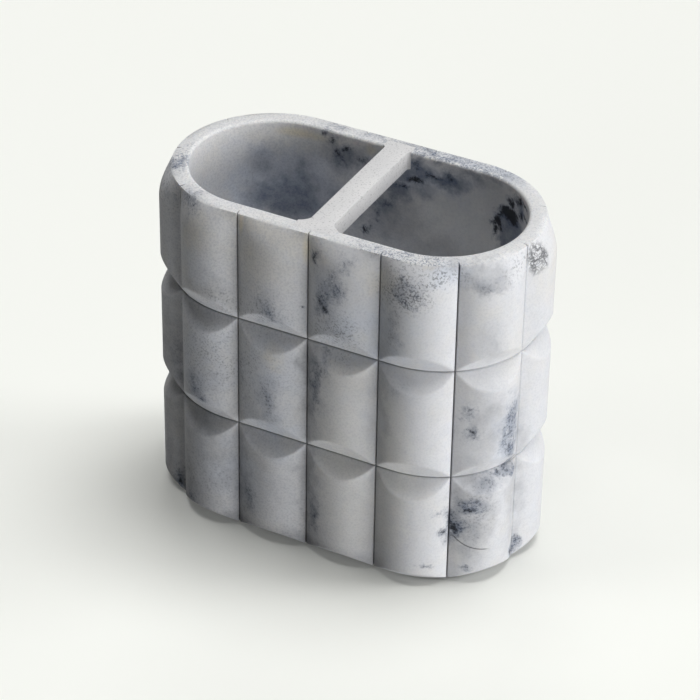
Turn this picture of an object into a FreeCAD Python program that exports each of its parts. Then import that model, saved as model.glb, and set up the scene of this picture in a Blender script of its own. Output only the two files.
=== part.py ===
import FreeCAD, Part
import math
import os

# Toothbrush holder: a racetrack-shaped cast cup faced with pillow tiles, a cross bar
# let into its rim, and four non-slip pads under its floor.
# Frame: origin under the middle of the base, +X along the long side, +Y to the back,
# +Z up. Millimetres.

# Plan of the cup, through the bottoms of the grooves
groove_half_straight = 25.0
groove_radius = 27.2
tile_columns = 13

# Tiers of tiles, from the base up; the top one is lower, because the rim is ground flat
lower_tier_height = 33.7
top_tier_height = 32.6

# One tile; the bevel at the base is lower than the others
tile_bulge = 3.4
tile_bevel_height = 5.6
base_bevel_height = 2.8

# Cavity
wall_at_groove = 4.7
floor_thickness = 6.0
floor_round = 3.5
rim_inner_round = 0.5

# Cross bar, and the pockets that its ends are bonded into
bar_width = 6.7
bar_height = 5.3
bar_front_flare = 2.5
bar_back_flare = 0.8
bar_edge_bevel = 0.4
bar_let_in_share = 0.64
bond_gap = 0.1

# Non-slip pads
pad_diameter = 10.0
pad_thickness = 1.6
pad_recess_depth = 0.9
pad_side_gap = 0.2
pad_edge_inset = 8.5
pad_rim_bevel = 0.3
pad_bend_angle = 45.0

# How far cutting and limiting shapes run past the part
overrun = 2.0

# Sizes that follow
base_lift = pad_thickness - pad_recess_depth
tier_heights = [lower_tier_height, lower_tier_height, top_tier_height]
lower_bevel_heights = [base_bevel_height, tile_bevel_height, tile_bevel_height]
cup_height = sum(tier_heights)
rim_z = base_lift + cup_height
cavity_radius = groove_radius - wall_at_groove
groove_line_length = 4 * groove_half_straight + 2 * math.pi * groove_radius
tile_pitch = groove_line_length / tile_columns
bar_let_in = bar_let_in_share * wall_at_groove

# Share of a radius that an arc's middle point lies along each axis
diagonal_share = math.sqrt(1 / 2)

Vector = FreeCAD.Vector
UP = Vector(0, 0, 1)
RIGHT = Vector(1, 0, 0)


def racetrack_place(distance, offset):
    """The point that lies a distance along the groove line from the front middle, moved
    outwards by an offset."""
    half_line = groove_line_length / 2
    signed = (distance + half_line) % groove_line_length - half_line
    side = math.copysign(1, signed)
    along = abs(signed)
    bend_end = groove_half_straight + math.pi * groove_radius
    reach = groove_radius + offset
    if along <= groove_half_straight:
        return Vector(side * along, -reach, 0)
    if along >= bend_end:
        return Vector(side * (half_line - along), reach, 0)
    turn = (along - groove_half_straight) / groove_radius
    x = groove_half_straight + reach * math.sin(turn)
    return Vector(side * x, -reach * math.cos(turn), 0)


def racetrack_solid(half_profile, half_straight):
    """A solid of racetrack plan. The half profile is a wire in the XZ plane that starts and
    ends on the Z axis; its X values are distances from the line between the bend centres."""
    face = Part.Face(half_profile)
    bend = face.revolve(Vector(0, 0, 0), UP, 180)
    bend.rotate(Vector(0, 0, 0), UP, -90)
    side = face.copy()
    side.rotate(Vector(0, 0, 0), UP, -90)
    side.translate(RIGHT * -half_straight)
    straight = side.extrude(RIGHT * 2 * half_straight)
    pieces = []
    for turn in (0, 180):
        end = bend.copy()
        end.translate(RIGHT * half_straight)
        end.rotate(Vector(0, 0, 0), UP, turn)
        pieces.append(end)
        middle = straight.copy()
        middle.rotate(Vector(0, 0, 0), UP, turn)
        pieces.append(middle)
    return pieces[0].multiFuse(pieces[1:]).removeSplitter()


def polyline(points):
    """A closed wire through (x, z) points in the XZ plane."""
    corners = [Vector(x, 0, z) for x, z in points]
    return Part.makePolygon(corners + corners[:1])


def tiers_solid():
    """The stack of tiers: each one runs out from the groove line to past the tiles at its
    bevels, so that the bevels meet in a groove between tiers."""
    reach = tile_bulge + overrun
    upper_rise = tile_bevel_height * reach / tile_bulge
    points = [(0, base_lift)]
    z = base_lift
    for height, lower_bevel_height in zip(tier_heights, lower_bevel_heights):
        lower_rise = lower_bevel_height * reach / tile_bulge
        points.append((groove_radius, z))
        points.append((groove_radius + reach, z + lower_rise))
        points.append((groove_radius + reach, z + height - upper_rise))
        z += height
    points.append((groove_radius, z))
    points.append((0, z))
    return racetrack_solid(polyline(points), groove_half_straight)


def column_arc(column):
    """The bulging plan of one column of tiles, from one upright groove to the next."""
    start = racetrack_place(column * tile_pitch, 0)
    crest = racetrack_place((column + 1 / 2) * tile_pitch, tile_bulge)
    end = racetrack_place((column + 1) * tile_pitch, 0)
    return Part.Arc(start, crest, end).toShape()


def columns_solid():
    """The upright columns of tiles as one prism that runs past the base and the rim."""
    outline = Part.Wire([column_arc(column) for column in range(tile_columns)])
    prism = Part.Face(outline).extrude(UP * (cup_height + 2 * overrun))
    prism.translate(UP * (base_lift - overrun))
    return prism


def cavity_solid():
    """The space inside the cup: a flat floor with a round corner, and a rounded mouth."""
    floor_z = base_lift + floor_thickness
    low_centre = (cavity_radius - floor_round, floor_z + floor_round)
    low_reach = diagonal_share * floor_round
    low_middle = (low_centre[0] + low_reach, low_centre[1] - low_reach)
    mouth_centre = (cavity_radius + rim_inner_round, rim_z - rim_inner_round)
    mouth_reach = diagonal_share * rim_inner_round
    mouth_middle = (mouth_centre[0] - mouth_reach, mouth_centre[1] + mouth_reach)

    def at(point):
        return Vector(point[0], 0, point[1])

    floor_middle = at((0, floor_z))
    floor_edge = at((low_centre[0], floor_z))
    wall_low = at((cavity_radius, low_centre[1]))
    wall_high = at((cavity_radius, mouth_centre[1]))
    mouth_edge = at((mouth_centre[0], rim_z))
    over_edge = at((mouth_centre[0], rim_z + overrun))
    over_middle = at((0, rim_z + overrun))
    edges = [
        Part.makeLine(floor_middle, floor_edge),
        Part.Arc(floor_edge, at(low_middle), wall_low).toShape(),
        Part.makeLine(wall_low, wall_high),
        Part.Arc(wall_high, at(mouth_middle), mouth_edge).toShape(),
        Part.makeLine(mouth_edge, over_edge),
        Part.makeLine(over_edge, over_middle),
        Part.makeLine(over_middle, floor_middle),
    ]
    return racetrack_solid(Part.Wire(edges), groove_half_straight)


def bar_tongue(y_side, flare, gap, top):
    """The end of the bar that is let into the wall, grown all round by a gap."""
    half = bar_width / 2 + flare + gap
    depth = bar_let_in + gap
    tongue = Part.makeBox(2 * half, cavity_radius + depth, top - (rim_z - bar_height))
    tongue.translate(Vector(-half, 0, rim_z - bar_height))
    if y_side < 0:
        tongue.rotate(Vector(0, 0, 0), UP, 180)
    return tongue


def pad_places():
    """Where the pads stand: node name and centre in plan."""
    from_bend_centre = groove_radius - pad_edge_inset
    angle = math.radians(pad_bend_angle)
    x = groove_half_straight + from_bend_centre * math.cos(angle)
    y = from_bend_centre * math.sin(angle)
    return {
        "foot_pad_front_left": Vector(-x, -y, 0),
        "foot_pad_front_right": Vector(x, -y, 0),
        "foot_pad_back_left": Vector(-x, y, 0),
        "foot_pad_back_right": Vector(x, y, 0),
    }


def cup_body():
    """The cast cup: tile-faced wall and floor in one, with pockets for bar and pads."""
    body = tiers_solid().common(columns_solid())
    body = body.cut(cavity_solid())
    for y_side, flare in ((-1, bar_front_flare), (1, bar_back_flare)):
        body = body.cut(bar_tongue(y_side, flare, bond_gap, rim_z + overrun))
    recess_radius = pad_diameter / 2 + pad_side_gap
    for place in pad_places().values():
        recess = Part.makeCylinder(recess_radius, overrun + pad_recess_depth)
        recess.translate(place + UP * (base_lift - overrun))
        body = body.cut(recess)
    return body.removeSplitter()


def flare_points(corner_x, wall_y, x_side, y_side, flare):
    """The round corner between the bar's side and the wall, as an arc from the wall in."""
    centre = Vector(x_side * (corner_x + flare), wall_y - y_side * flare, 0)
    at_wall = centre + Vector(0, y_side * flare, 0)
    at_side = centre + Vector(-x_side * flare, 0, 0)
    reach = diagonal_share * flare
    middle = centre + Vector(-x_side * reach, y_side * reach, 0)
    return at_wall, middle, at_side


def divider_bar():
    """The cross bar: rounded into the wall at its ends, with a tongue let in at each."""
    half = bar_width / 2
    corners = []
    for x_side, y_side, flare in ((1, -1, bar_front_flare), (1, 1, bar_back_flare),
                                  (-1, 1, bar_back_flare), (-1, -1, bar_front_flare)):
        wall_y = y_side * cavity_radius
        at_wall, middle, at_side = flare_points(half, wall_y, x_side, y_side, flare)
        tip = at_wall + Vector(0, y_side * bar_let_in, 0)
        corners.append((tip, at_wall, middle, at_side))
    edges = []
    for index in (0, 2):
        tip, at_wall, middle, at_side = corners[index]
        next_tip, next_wall, next_middle, next_side = corners[index + 1]
        following = corners[(index + 2) % len(corners)][0]
        edges.append(Part.makeLine(tip, at_wall))
        edges.append(Part.Arc(at_wall, middle, at_side).toShape())
        edges.append(Part.makeLine(at_side, next_side))
        edges.append(Part.Arc(next_side, next_middle, next_wall).toShape())
        edges.append(Part.makeLine(next_wall, next_tip))
        edges.append(Part.makeLine(next_tip, following))
    bar = Part.Face(Part.Wire(edges)).extrude(UP * bar_height)
    bar.translate(UP * (rim_z - bar_height))
    side_edges = [edge for edge in bar.Edges if runs_along_span(edge)]
    return bar.makeChamfer(bar_edge_bevel, side_edges)


def runs_along_span(edge):
    """True for the four long straight edges of the bar, between its rounded corners."""
    box = edge.BoundBox
    return box.XLength < bar_edge_bevel and box.YLength > cavity_radius


def foot_pad(place):
    """One pad: a disc with a small bevel round its underside."""
    pad = Part.makeCylinder(pad_diameter / 2, pad_thickness)
    lower = [edge for edge in pad.Edges if edge.BoundBox.ZMax < pad_rim_bevel]
    pad = pad.makeChamfer(pad_rim_bevel, lower)
    pad.translate(place)
    return pad


def main():
    os.makedirs("parts", exist_ok=True)
    pieces = {"cup_body": cup_body(), "divider_bar": divider_bar()}
    for name, place in pad_places().items():
        pieces[name] = foot_pad(place)
    for name, shape in pieces.items():
        shape.exportStep("parts/" + name + ".step")
        box = shape.BoundBox
        print(name, shape.ShapeType, "solids", len(shape.Solids), "valid", shape.isValid(),
              "faces", len(shape.Faces), "volume", round(shape.Volume, 1),
              "box", [round(value, 2) for value in
                      (box.XMin, box.YMin, box.ZMin, box.XMax, box.YMax, box.ZMax)])


main()
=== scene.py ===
import math

import bmesh
import bpy
from bpy.props import FloatProperty, FloatVectorProperty, IntProperty, PointerProperty
from mathutils import Matrix, Vector


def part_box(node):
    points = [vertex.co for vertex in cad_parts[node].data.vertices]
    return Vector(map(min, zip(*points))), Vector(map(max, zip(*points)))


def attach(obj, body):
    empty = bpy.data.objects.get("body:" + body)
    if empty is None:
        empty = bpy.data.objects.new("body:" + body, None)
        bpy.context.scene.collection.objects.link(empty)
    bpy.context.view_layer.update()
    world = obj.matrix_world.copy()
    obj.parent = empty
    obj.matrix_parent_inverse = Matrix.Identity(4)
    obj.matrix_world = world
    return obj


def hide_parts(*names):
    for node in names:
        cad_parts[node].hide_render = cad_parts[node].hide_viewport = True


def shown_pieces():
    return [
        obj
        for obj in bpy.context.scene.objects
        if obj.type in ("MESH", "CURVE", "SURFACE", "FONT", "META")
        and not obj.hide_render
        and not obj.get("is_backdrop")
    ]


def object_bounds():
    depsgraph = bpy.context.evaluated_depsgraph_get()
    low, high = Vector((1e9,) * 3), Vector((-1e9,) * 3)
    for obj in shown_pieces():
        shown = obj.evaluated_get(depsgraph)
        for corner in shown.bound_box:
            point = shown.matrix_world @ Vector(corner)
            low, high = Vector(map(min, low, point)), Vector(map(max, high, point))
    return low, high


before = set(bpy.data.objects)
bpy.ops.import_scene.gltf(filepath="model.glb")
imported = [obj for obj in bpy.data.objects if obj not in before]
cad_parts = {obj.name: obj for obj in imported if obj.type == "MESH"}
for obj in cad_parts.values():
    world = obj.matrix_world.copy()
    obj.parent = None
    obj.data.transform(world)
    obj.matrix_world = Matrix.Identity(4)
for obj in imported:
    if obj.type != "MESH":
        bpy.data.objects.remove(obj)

bl_info = {
    "name": "Pillow-tile toothbrush holder",
    "version": (1, 0, 0),
    "blender": (4, 5, 0),
    "location": "3D View > Sidebar > Holder",
    "description": "Models and finishes a cast stone toothbrush holder round its solid parts",
    "category": "Object",
}

# Modelling is done with one unit to the millimetre, and a finished piece is shrunk to metres
MILLIMETRE = 0.001

CAD_LOW, CAD_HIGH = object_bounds()
CUP_LOW, CUP_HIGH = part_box("cup_body")
BAR_LOW, BAR_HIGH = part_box("divider_bar")
FOOT_PADS = sorted(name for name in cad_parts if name.startswith("foot_pad"))
BODY = "root"


class HolderSizes(bpy.types.PropertyGroup):
    """The sizes of the cup's relief, its cavity and its cross bar, in metres."""

    tile_columns: IntProperty(
        name="Tile columns", description="Columns of tiles round the cup", default=13, min=6)
    half_straight: FloatProperty(
        name="Half straight", description="From the middle to the centre of an end bend",
        default=0.025, unit="LENGTH")
    tile_bulge: FloatProperty(
        name="Tile bulge", description="How far a tile's crest stands out of its grooves",
        default=0.0034, unit="LENGTH")
    tile_bevel: FloatProperty(
        name="Tile bevel", description="Height of the bevel at a tile's top and bottom",
        default=0.0056, unit="LENGTH")
    base_bevel: FloatProperty(
        name="Base bevel", description="Height of the bevel where a tile meets the base",
        default=0.0032, unit="LENGTH")
    lower_tier: FloatProperty(
        name="Lower tier", description="Height of each of the two lower tiers",
        default=0.0337, unit="LENGTH")
    wall: FloatProperty(
        name="Wall", description="From the grooves to the cavity", default=0.0047, unit="LENGTH")
    floor: FloatProperty(
        name="Floor", description="Thickness of the floor", default=0.006, unit="LENGTH")
    floor_round: FloatProperty(
        name="Floor round", description="Radius between floor and wall", default=0.0035,
        unit="LENGTH")
    mouth_round: FloatProperty(
        name="Mouth round", description="Radius of the rim's inner edge", default=0.0009,
        unit="LENGTH")
    slit_width: FloatProperty(
        name="Slit width", description="Width of the fine slit between tiles", default=0.0005,
        unit="LENGTH")
    slit_depth: FloatProperty(
        name="Slit depth", description="Depth of the fine slit between tiles", default=0.0016,
        unit="LENGTH")
    top_swell: FloatProperty(
        name="Top swell", description="Height over which a top tile swells out from the rim",
        default=0.009, unit="LENGTH")
    edge_round: FloatProperty(
        name="Edge round", description="Width of the worn edge round a tile's face",
        default=0.0007, unit="LENGTH")
    bar_front_flare: FloatProperty(
        name="Bar front flare", description="Radius between the bar and the front wall",
        default=0.0025, unit="LENGTH")
    bar_back_flare: FloatProperty(
        name="Bar back flare", description="Radius between the bar and the back wall",
        default=0.0008, unit="LENGTH")
    bar_edge_round: FloatProperty(
        name="Bar edge round", description="Radius of the bar's edges", default=0.00035,
        unit="LENGTH")
    bar_let_in: FloatProperty(
        name="Bar let in", description="How far the bar's ends go into the wall",
        default=0.003, unit="LENGTH")
    bar_shift: FloatProperty(
        name="Bar shift", description="How far the bar was bonded to the right of the middle",
        default=0.00045, unit="LENGTH")
    bond_gap: FloatProperty(
        name="Bond gap", description="Gap round the ends of the bar", default=0.00003,
        unit="LENGTH")


class HolderLooks(bpy.types.PropertyGroup):
    """The colours of the stone, the pads and the stage."""

    stone: FloatVectorProperty(
        name="Stone", description="Ground colour of the veined stone", subtype="COLOR",
        default=(0.785, 0.795, 0.82))
    warm_stone: FloatVectorProperty(
        name="Warm stone", description="Warmer parts of the ground", subtype="COLOR",
        default=(0.80, 0.787, 0.757))
    pale_stone: FloatVectorProperty(
        name="Pale stone", description="Palest parts of the ground", subtype="COLOR",
        default=(0.875, 0.876, 0.87))
    # The colour of the painted glow at thin edges
    amber_glow: FloatVectorProperty(
        name="Amber", description="Where the cast is amber at an edge", subtype="COLOR",
        default=(0.91, 0.853, 0.715))
    cool_stone: FloatVectorProperty(
        name="Cool stone", description="Cooler parts of the ground", subtype="COLOR",
        default=(0.73, 0.765, 0.832))
    # The grey of the painted shade
    painted_shade: FloatVectorProperty(
        name="Grime", description="Grey of the duller parts", subtype="COLOR",
        default=(0.15, 0.155, 0.17))
    cloud: FloatVectorProperty(
        name="Cloud", description="Blue-grey of the clouds", subtype="COLOR",
        default=(0.085, 0.122, 0.205))
    vein: FloatVectorProperty(
        name="Vein", description="Near black of the veins", subtype="COLOR",
        default=(0.012, 0.014, 0.020))
    plain: FloatVectorProperty(
        name="Plain stone", description="Ground colour of the cross bar", subtype="COLOR",
        default=(0.80, 0.795, 0.795))
    pad: FloatVectorProperty(
        name="Pad", description="Colour of the non-slip pads", subtype="COLOR",
        default=(0.42, 0.42, 0.41))
    pad_grain: FloatVectorProperty(
        name="Pad grain", description="Darker grain of the non-slip pads", subtype="COLOR",
        default=(0.3, 0.3, 0.3))
    stage: FloatVectorProperty(
        name="Stage", description="Colour of the floor in the picture", subtype="COLOR",
        default=(0.905, 0.915, 0.870))
    bounce: FloatVectorProperty(
        name="Bounce", description="Colour of the floor to light that it sends back up",
        subtype="COLOR", default=(0.25, 0.25, 0.245))


# Modelling helpers

# Vertices closer than this are merged, in mm
MERGE_GAP = 0.002
# How near a vertex lies to a cut to count as on it, and to a line to be selected with it, in mm
ON_THE_CUT = 0.0005
NEAR = 0.01
# How much of a face's normal lies along an axis when it faces that way, and when it leans
FACING = 0.9
LEANING = 0.1


def in_millimetres(length):
    """A length in metres, as modelling units."""
    return length / MILLIMETRE


def deselect_everything():
    """Leaves nothing selected, in object mode."""
    if bpy.context.mode != "OBJECT":
        bpy.ops.object.mode_set(mode="OBJECT")
    bpy.ops.object.select_all(action="DESELECT")


def take(obj):
    """Selects this object alone and makes it active."""
    deselect_everything()
    obj.select_set(True)
    bpy.context.view_layer.objects.active = obj


def start(name):
    """Names the primitive that was just added and opens it in edit mode, all selected."""
    obj = bpy.context.active_object
    obj.name = name
    obj.data.name = name
    bpy.ops.object.transform_apply(location=True, rotation=True, scale=True)
    bpy.ops.object.mode_set(mode="EDIT")
    bpy.ops.mesh.select_all(action="SELECT")
    return obj


def pick(obj, kind, test):
    """In edit mode, selects only the edges or the faces that pass a test."""
    bpy.ops.mesh.select_mode(type=kind)
    bpy.ops.mesh.select_all(action="DESELECT")
    mesh = bmesh.from_edit_mesh(obj.data)
    items = {"EDGE": mesh.edges, "FACE": mesh.faces}[kind]
    found = [item for item in items if test(item)]
    for item in found:
        item.select_set(True)
    bmesh.update_edit_mesh(obj.data)
    if not found:
        raise RuntimeError(f"nothing to select on {obj.name}")


def both_ends(edge, test):
    """True for an edge whose two ends pass a test of place."""
    return all(test(vert.co) for vert in edge.verts)


def cut(place, normal, keep_below=False):
    """Cuts the whole mesh by a plane; with keep_below, what lies past it goes and is capped."""
    bpy.ops.mesh.select_all(action="SELECT")
    bpy.ops.mesh.bisect(
        plane_co=place, plane_no=Vector(normal).normalized(), use_fill=keep_below,
        clear_outer=keep_below, threshold=ON_THE_CUT)


def add_modifier(obj, kind, **settings):
    """Adds a modifier, sets it and applies it at once."""
    take(obj)
    bpy.ops.object.modifier_add(type=kind)
    modifier = obj.modifiers[-1]
    for name, value in settings.items():
        setattr(modifier, name, value)
    bpy.ops.object.modifier_apply(modifier=modifier.name)


def carve(obj, cutter):
    """Takes the cutter's shape out of an object and removes the cutter."""
    add_modifier(obj, "BOOLEAN", operation="DIFFERENCE", solver="EXACT", object=cutter)
    bpy.data.objects.remove(cutter)


def join(obj, others):
    """Joins other objects into one and merges what meets."""
    take(obj)
    for other in others:
        other.select_set(True)
    bpy.ops.object.join()
    merge(obj)


def merge(obj, distance=MERGE_GAP):
    """Merges vertices that lie together."""
    take(obj)
    bpy.ops.object.mode_set(mode="EDIT")
    bpy.ops.mesh.select_all(action="SELECT")
    bpy.ops.mesh.remove_doubles(threshold=distance)
    bpy.ops.object.mode_set(mode="OBJECT")


def finish_piece(obj, material, slot, smooth_angle, *nodes):
    """Brings a piece to metres and gives it its shading, material and body. The slot is not used.
    """
    take(obj)
    obj.scale = (MILLIMETRE,) * 3
    bpy.ops.object.transform_apply(location=True, rotation=True, scale=True)
    bpy.ops.object.shade_smooth_by_angle(angle=math.radians(smooth_angle))
    obj.data.materials.clear()
    obj.data.materials.append(material)
    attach(obj, BODY)
    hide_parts(*nodes)


# Materials


class Wire:
    """One output of a material's nodes. Sums and products of wires add Math nodes."""

    def __init__(self, paint, socket):
        self.paint = paint
        self.socket = socket

    def math(self, operation, *values):
        return self.paint.node("ShaderNodeMath", {"operation": operation}, dict(enumerate(values)))

    def __add__(self, other):
        return self.math("ADD", self, other)

    def __sub__(self, other):
        return self.math("SUBTRACT", self, other)

    def __mul__(self, other):
        return self.math("MULTIPLY", self, other)

    def __pow__(self, other):
        return self.math("POWER", self, other)

    def __radd__(self, other):
        return self.math("ADD", other, self)

    def __rsub__(self, other):
        return self.math("SUBTRACT", other, self)

    def __rmul__(self, other):
        return self.math("MULTIPLY", other, self)

    def __abs__(self):
        return self.math("ABSOLUTE", self)

    def at_least(self, other):
        return self.math("MAXIMUM", self, other)

    def at_most(self, other):
        return self.math("MINIMUM", self, other)


class Paint:
    """One material and the nodes that are added to it."""

    def __init__(self, name):
        self.material = bpy.data.materials.new(name)
        self.material.use_nodes = True
        self.tree = self.material.node_tree
        self.tree.nodes.clear()
        self.place = self.node("ShaderNodeTexCoord", {}, {}, "Object")

    def node(self, kind, settings, inputs, output=0):
        """Adds a node, sets it, gives its sockets values or links, and returns one output,
        or None for a node that has none."""
        made = self.tree.nodes.new(kind)
        for name, value in settings.items():
            setattr(made, name, value)
        for name, value in inputs.items():
            if isinstance(value, Wire):
                self.tree.links.new(value.socket, made.inputs[name])
            else:
                made.inputs[name].default_value = value
        return Wire(self, made.outputs[output]) if made.outputs else None

    def noise(self, size, detail=3.0, roughness=0.5, distortion=0.0, seed=0.0):
        """Noise whose coarsest features are about this size, in metres, from 0 to 1."""
        return self.node(
            "ShaderNodeTexNoise", {"noise_dimensions": "4D"},
            {"Vector": self.place, "W": seed, "Scale": 1 / size, "Detail": detail,
             "Roughness": roughness, "Distortion": distortion})

    def step(self, value, start, end):
        """A smooth step from 0 at the start to 1 at the end, up or down."""
        return self.node(
            "ShaderNodeMapRange", {"interpolation_type": "SMOOTHSTEP"},
            {"Value": value, "From Min": start, "From Max": end, "To Min": 0.0, "To Max": 1.0})

    def vector(self, operation, first, second):
        return self.node(
            "ShaderNodeVectorMath", {"operation": operation}, {0: first, 1: second})

    def mix(self, share, first, second):
        """The first colour where the share is 0 and the second where it is 1. A Mix node's
        sockets 6 and 7 take the colours, and its output 2 gives the mixed one."""
        first, second = (
            one if isinstance(one, Wire) else (*one, 1.0) for one in (first, second))
        return self.node(
            "ShaderNodeMix", {"data_type": "RGBA"}, {0: share, 6: first, 7: second}, 2)

    def bump(self, height, distance):
        """A bumped normal, where a height of 1 stands this distance out, in metres."""
        return self.node(
            "ShaderNodeBump", {}, {"Height": height, "Strength": 1.0, "Distance": distance})

    def patch(self, place, middle, reach, strength):
        """An oval patch that falls from its strength at the middle to 0 at its reach, and on
        below. Places are in mm."""
        share = self.node("ShaderNodeVectorMath", {"operation": "MULTIPLY_ADD"}, {
            0: place, 1: [1 / value for value in reach],
            2: [-at / value for at, value in zip(middle, reach)]})
        length = self.node("ShaderNodeVectorMath", {"operation": "LENGTH"}, {0: share}, 1)
        return length.math("MULTIPLY_ADD", length, -strength, strength)

    def patches(self, place, marks):
        """The strongest of some patches: each one has a middle, a reach and a strength."""
        total = self.patch(place, *marks[0])
        for mark in marks[1:]:
            total = total.at_least(self.patch(place, *mark))
        return total

    def finish(self, **inputs):
        """Ends the material in a Principled shader."""
        shader = self.node("ShaderNodeBsdfPrincipled", {}, {
            name.replace("_", " "): value for name, value in inputs.items()})
        return self.show(shader)

    def show(self, shader):
        """Puts a shader on the surface and returns the finished material."""
        self.node("ShaderNodeOutputMaterial", {}, {"Surface": shader})
        return self.material


# Marks of the cast, each with its middle in the frame, how far it reaches, both in mm, and how
# strong it is. First the blue-grey clouds.
CLOUDS = (
    # inside the left compartment; the patch low beside the bar also paints the bar's shadow
    ((-32, 21, 78), (17, 9, 14), 0.9), ((-38, 18, 78), (9, 8, 8), 0.8),
    ((-38, 18, 88), (10, 9, 8), 0.5), ((-28, 22, 84), (7, 6, 9), 0.7),
    ((-16, 22.5, 93.5), (9, 6, 8), 0.75), ((-17, 22.5, 79), (12, 6, 10), 0.6),
    # inside the right compartment
    ((5, 22.5, 96), (10, 6, 6), 1.1), ((16, 22.5, 95), (9, 5, 5), 1.0),
    ((23, 22.5, 98.5), (12, 5, 3.5), 0.6), ((1, 22.5, 89), (8, 5, 6.5), 0.9),
    ((-4, 22.5, 81), (8, 5, 13), 0.5), ((9, 22.5, 90), (9, 5, 6), 0.5),
    ((37, 19, 85), (8, 8, 10), 1.8), ((40, 17, 95), (5, 5, 5), 0.7),
    # top tier, from the left
    ((-37, -25, 99), (8, 6, 7), 0.6), ((-44, -20, 97), (4, 6, 7), 0.4),
    ((-11, -30, 76), (8, 5, 8), 0.6), ((-13, -30, 69), (9, 5, 3), 0.4),
    ((3, -29, 95), (3, 4, 6), 0.4), ((12, -30, 94.5), (4, 5, 3), 0.35),
    ((10, -30.5, 89), (5, 5, 7), 0.5), ((6, -30, 83), (6, 5, 9), 0.6),
    ((11, -30, 75), (9, 5, 7), 0.35), ((29, -30, 92.5), (8, 5, 7), 0.5),
    ((25, -29.5, 82), (4, 5, 15), 0.5), ((34, -29, 97), (7, 5, 4), 0.3),
    ((47, -19, 95), (9, 8, 4), 0.4), ((54, -2.5, 95), (3.6, 5, 5), 0.5),
    # middle tier
    ((4, -29, 62), (6, 5, 5), 0.7), ((3, -29, 53), (4.5, 5, 13), 0.6),
    ((-10, -30.5, 47), (7, 5, 13), 0.5), ((-33, -29.5, 43), (5, 5, 9), 0.6),
    ((28, -29.5, 63), (8, 5, 5), 0.3), ((52.8, -11.5, 47), (3.6, 5, 15), 1.1),
    ((50.5, -12, 34.5), (7, 7, 1.8), 1.1),
    ((-19, -28, 50), (3, 5, 14), 0.5), ((-43, -22, 45), (5, 6, 14), 0.45),
    # bottom tier
    ((49, -16, 31.5), (6, 7, 4), 0.6), ((46, -20.5, 25.5), (7, 6, 4), 0.8),
    ((42.0, -22, 19), (5, 5, 8), 0.8), ((46, -20, 15), (7, 6, 9), 0.4),
    ((52.3, -5.5, 4.5), (2.4, 4, 4), 1.0), ((-17, -29.3, 13), (5, 5, 12), 0.5),
    ((-43, -22, 5), (3.5, 5, 6), 0.7), ((-35, -28.5, 7), (5, 5, 7), 0.55),
    ((2, -28.8, 14), (4, 5, 12), 0.5), ((-2, -28, 4), (12, 5, 4), 0.3),
    # rim
    ((-47, -12, 101), (6, 12, 3), 0.7), ((-20, 25.5, 101), (8, 4, 2.5), 0.6),
    ((-6, 26, 101), (10, 4, 2.5), 0.5), ((10, 25, 101), (20, 5, 2.5), 0.65),
    ((32, 24, 101), (15, 7, 2.5), 0.5), ((22, -25, 101), (14, 5, 3), 0.5),
    ((39, -23, 101), (13, 8, 3), 0.5),
)
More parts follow.
